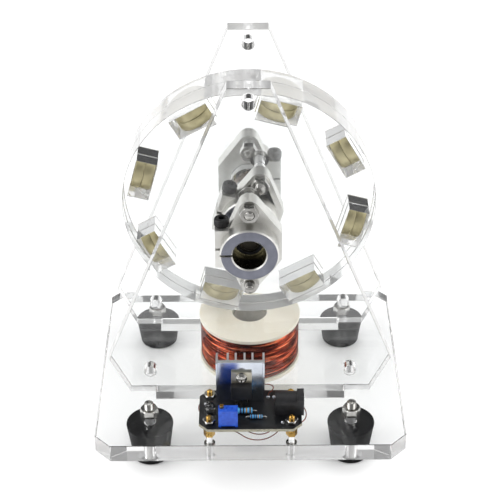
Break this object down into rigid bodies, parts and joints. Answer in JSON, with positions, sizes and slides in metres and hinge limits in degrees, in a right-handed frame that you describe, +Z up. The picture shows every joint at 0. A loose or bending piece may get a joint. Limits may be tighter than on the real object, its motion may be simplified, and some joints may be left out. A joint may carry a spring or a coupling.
{
  "type": "demonstration electric motor",
  "caption": "Clear-sided pulse motor: a wheel of magnets turns on bearings over an upright coil, driven by a small circuit board.",
  "frame": {"origin": "on the surface that the feet rest on, under the middle of the base plate", "axes": "+Z up, +X to the right seen from the circuit board side, -Y towards the circuit board, shaft along Y"},
  "size_m": [0.155, 0.133, 0.201],
  "materials": {
    "clear_acrylic": "polished clear",
    "black_rubber": "matt",
    "plated_steel": "nickel plated",
    "satin_aluminium": "satin",
    "black_steel": "black oxide",
    "bearing_steel": "ground",
    "seal_rubber": "matt",
    "plated_magnet": "nickel plated",
    "cream_plastic": "moulded",
    "soft_iron": "turned",
    "enamelled_copper": "enamelled copper",
    "black_board": "lacquered",
    "brass": "turned",
    "tinned_metal": "tinned",
    "black_moulding": "moulded",
    "blue_plastic": "moulded",
    "pale_blue_lacquer": "lacquered",
    "clear_epoxy": "clear"
  },
  "bodies": {
    "stand": {"base_plate": "clear_acrylic", "board_nuts": "plated_steel", "board_pillars": "brass", "board_screws": "plated_steel", "circuit_board": "black_board", "coil_bobbin": "cream_plastic", "coil_core": "soft_iron", "coil_inner_layers": "enamelled_copper", "coil_lead_lower": "enamelled_copper", "coil_lead_upper": "enamelled_copper", "coil_outer_turns": "enamelled_copper", "coil_screw": "plated_steel", "foot_bolts": "plated_steel", "foot_nuts": "plated_steel", "foot_washers": "plated_steel", "front_bearing_balls": "bearing_steel", "front_bearing_outer_ring": "bearing_steel", "front_bearing_seals": "seal_rubber", "front_bearing_support": "satin_aluminium", "front_upright": "clear_acrylic", "heat_sink": "satin_aluminium", "lamp_legs": "tinned_metal", "lamp_lens": "clear_epoxy", "power_socket": "black_moulding", "power_socket_pin": "tinned_metal", "rear_bearing_balls": "bearing_steel", "rear_bearing_outer_ring": "bearing_steel", "rear_bearing_seals": "seal_rubber", "rear_bearing_support": "satin_aluminium", "rear_upright": "clear_acrylic", "resistor_bodies": "pale_blue_lacquer", "resistor_leads": "tinned_metal", "rubber_feet": "black_rubber", "solder_joints": "tinned_metal", "support_bolts": "plated_steel", "support_clamp_screws": "black_steel", "support_nuts": "plated_steel", "transistor_body": "black_moulding", "transistor_legs": "tinned_metal", "transistor_screw": "plated_steel", "transistor_tab": "tinned_metal", "trimmer_body": "blue_plastic"},
    "rotor": {"front_bearing_inner_ring": "bearing_steel", "magnet_pair_1": "plated_magnet", "magnet_pair_2": "plated_magnet", "magnet_pair_3": "plated_magnet", "magnet_pair_4": "plated_magnet", "magnet_pair_5": "plated_magnet", "magnet_pair_6": "plated_magnet", "magnet_pair_7": "plated_magnet", "magnet_pair_8": "plated_magnet", "rear_bearing_inner_ring": "bearing_steel", "rotor_front_layer": "clear_acrylic", "rotor_hub": "satin_aluminium", "rotor_hub_bolts": "plated_steel", "rotor_hub_clamp_screw": "black_steel", "rotor_hub_nuts": "plated_steel", "rotor_rear_layer": "clear_acrylic", "rotor_shaft": "bearing_steel"},
    "trimmer_adjuster": {"trimmer_screw": "brass"}
  },
  "joints": [
    {"name": "rotor_spin", "type": "hinge", "parent": "stand", "child": "rotor", "pos_m": [0, 0.01, 0.121], "axis": [0, 1, 0], "continuous": true},
    {"name": "trimmer_turn", "type": "hinge", "parent": "stand", "child": "trimmer_adjuster", "pos_m": [-0.0141, -0.0583, 0.0436], "axis": [0, 0, 1], "continuous": true}
  ]
}
